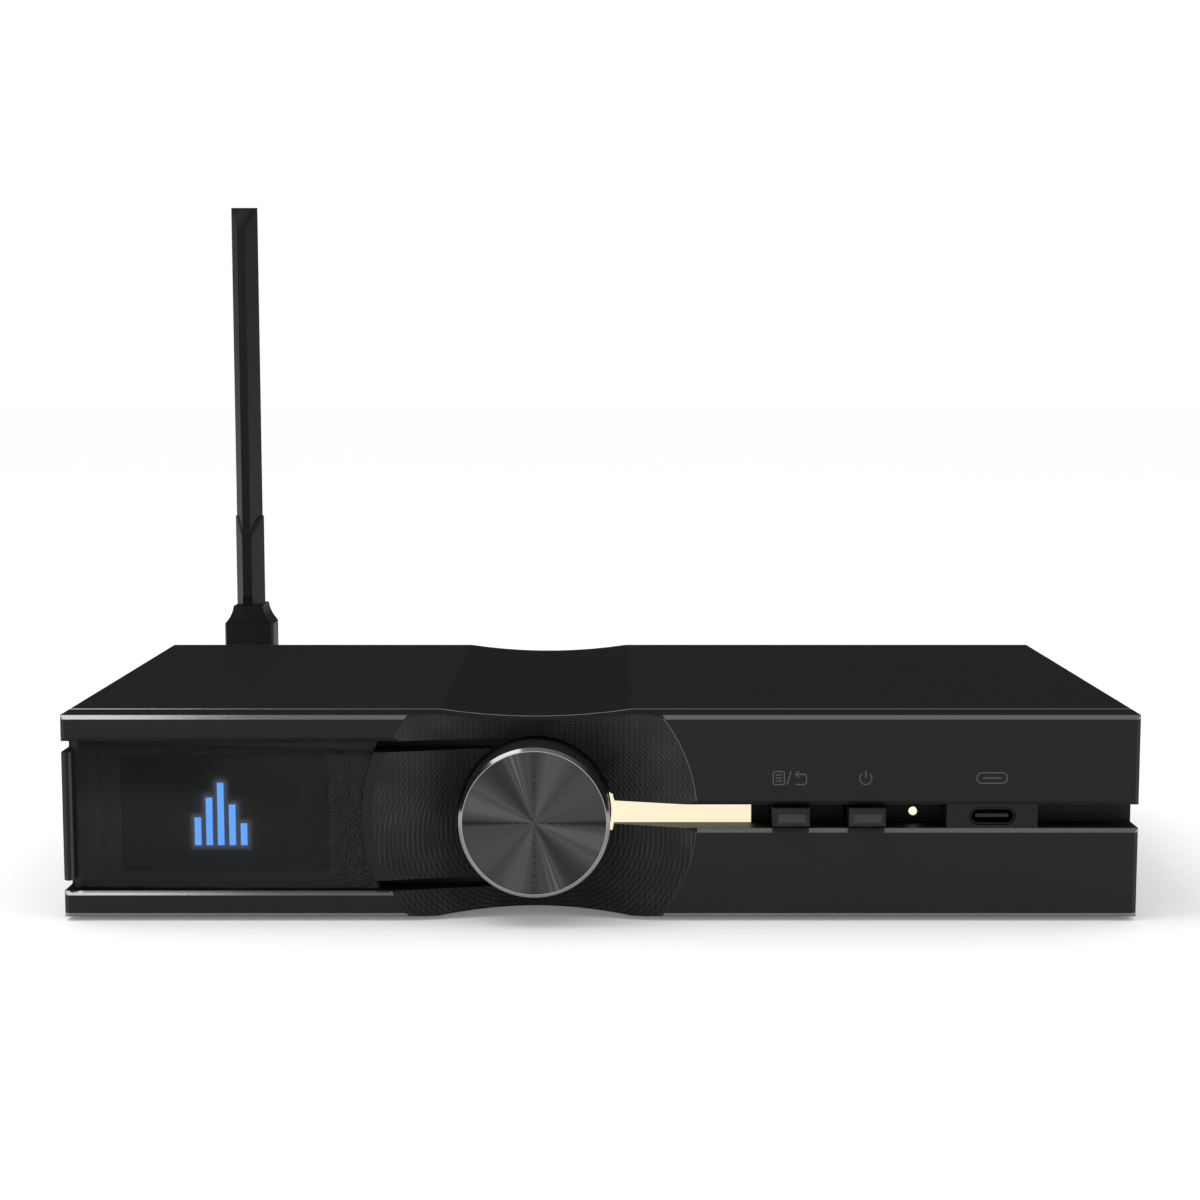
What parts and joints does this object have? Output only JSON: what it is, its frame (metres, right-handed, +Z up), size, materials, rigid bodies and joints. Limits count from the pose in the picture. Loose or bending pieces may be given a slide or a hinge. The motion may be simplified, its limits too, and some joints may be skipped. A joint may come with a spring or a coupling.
{
  "type": "desktop dac",
  "caption": "Low black aluminium DAC and streamer with a display, a round knob in a machined dish, front slot controls and a folding rear antenna.",
  "frame": {"origin": "middle of the footprint of the whole object, from the knob's face to the antenna's back, at the floor", "axes": "+X to the user's right, +Y to the back, +Z up; the front panel faces -Y"},
  "size_m": [0.214, 0.1772, 0.1502],
  "materials": {
    "casing_black": "satin black anodised aluminium, fine blasted",
    "knob_grey": "dark anodised, spun face with radial highlights and a bright cut rim",
    "window_smoke": "smoked gloss window",
    "display_glow": "display module with a lit graphic",
    "black_plastic": "fine textured black plastic",
    "light_cream": "lit diffuser",
    "antenna_black": "smooth satin black plastic",
    "rubber_black": "soft matt rubber",
    "plated_steel": "bright plated steel",
    "black_steel": "black oxide screws",
    "gold": "gold plated contacts",
    "white_plastic": "white insulator",
    "red_plastic": "red insulator",
    "orange_plastic": "orange insulator",
    "board_green": "solder masked circuit board",
    "chip_black": "moulded chip package",
    "cable_white": "flat flexible cable",
    "bare_aluminium": "extruded bare aluminium",
    "capacitor_sleeve": "printed plastic sleeve"
  },
  "bodies": {
    "casing": {"antenna_coupling_nut": "black_steel", "antenna_jack": "gold", "antenna_jack_nut": "plated_steel", "antenna_lead": "rubber_black", "board_leds": "light_cream", "board_link_cable": "cable_white", "board_standoffs": "plated_steel", "button_switches": "black_plastic", "cable_connectors": "black_plastic", "clock_oscillators": "plated_steel", "coax_insulator": "orange_plastic", "dac_chips": "chip_black", "dc_pin": "plated_steel", "dc_socket": "black_plastic", "display_carrier": "black_plastic", "display_ribbon": "cable_white", "display_window": "window_smoke", "encoder_body": "plated_steel", "encoder_nut": "plated_steel", "filter_capacitors": "capacitor_sleeve", "front_board": "board_green", "front_panel": "casing_black", "heat_sink": "bare_aluminium", "lamp_lens": "light_cream", "lan_socket": "plated_steel", "light_guide": "light_cream", "main_board": "board_green", "oled_module": "display_glow", "optical_socket": "black_plastic", "output_relays": "black_plastic", "power_inductors": "chip_black", "processors": "chip_black", "rca_housings": "black_plastic", "rca_insulator_left": "white_plastic", "rca_insulator_right": "red_plastic", "rca_shells": "gold", "rear_panel": "casing_black", "rubber_feet": "rubber_black", "sleeve": "casing_black", "slot_insert": "black_plastic", "tie_screws": "black_steel", "usb_b_socket": "plated_steel", "usb_board": "board_green", "usb_c_receptacle": "plated_steel", "usb_c_tongue": "chip_black", "wifi_module": "board_green", "wifi_shield": "plated_steel", "xlr_outputs": "black_plastic", "xlr_pins": "gold"},
    "encoder_push_plate": {"encoder_push_plate": "plated_steel"},
    "volume_knob": {"volume_knob": "knob_grey", "encoder_shaft": "plated_steel", "knob_grub_screw": "black_steel"},
    "menu_button": {"menu_button": "black_plastic", "menu_switch_plunger": "black_plastic"},
    "power_button": {"power_button": "black_plastic", "power_switch_plunger": "black_plastic"},
    "antenna_knuckle": {"antenna_knuckle": "antenna_black", "antenna_hinge_pin": "plated_steel"},
    "antenna_mast": {"antenna_mast": "antenna_black"}
  },
  "joints": [
    {"name": "knob_press", "type": "slide", "parent": "casing", "child": "encoder_push_plate", "axis": [0, 1, 0], "range_m": [0, 0.0005], "stiffness_N_per_m": 4000, "springref_m": -0.0005},
    {"name": "knob_turn", "type": "hinge", "parent": "encoder_push_plate", "child": "volume_knob", "pos_m": [-0.013, -0.08063, 0.0211], "axis": [0, 1, 0], "continuous": true},
    {"name": "menu_press", "type": "slide", "parent": "casing", "child": "menu_button", "axis": [0, 1, 0], "range_m": [0, 0.0004], "stiffness_N_per_m": 2500, "springref_m": -0.0004},
    {"name": "power_press", "type": "slide", "parent": "casing", "child": "power_button", "axis": [0, 1, 0], "range_m": [0, 0.0004], "stiffness_N_per_m": 2500, "springref_m": -0.0004},
    {"name": "antenna_swivel", "type": "hinge", "parent": "casing", "child": "antenna_knuckle", "pos_m": [-0.0897, 0.08138, 0.0211], "axis": [0, 1, 0], "range_deg": [-90, 90]},
    {"name": "antenna_tilt", "type": "hinge", "parent": "antenna_knuckle", "child": "antenna_mast", "pos_m": [-0.0897, 0.08138, 0.0211], "axis": [-1, 0, 0], "range_deg": [0, 90]}
  ]
}
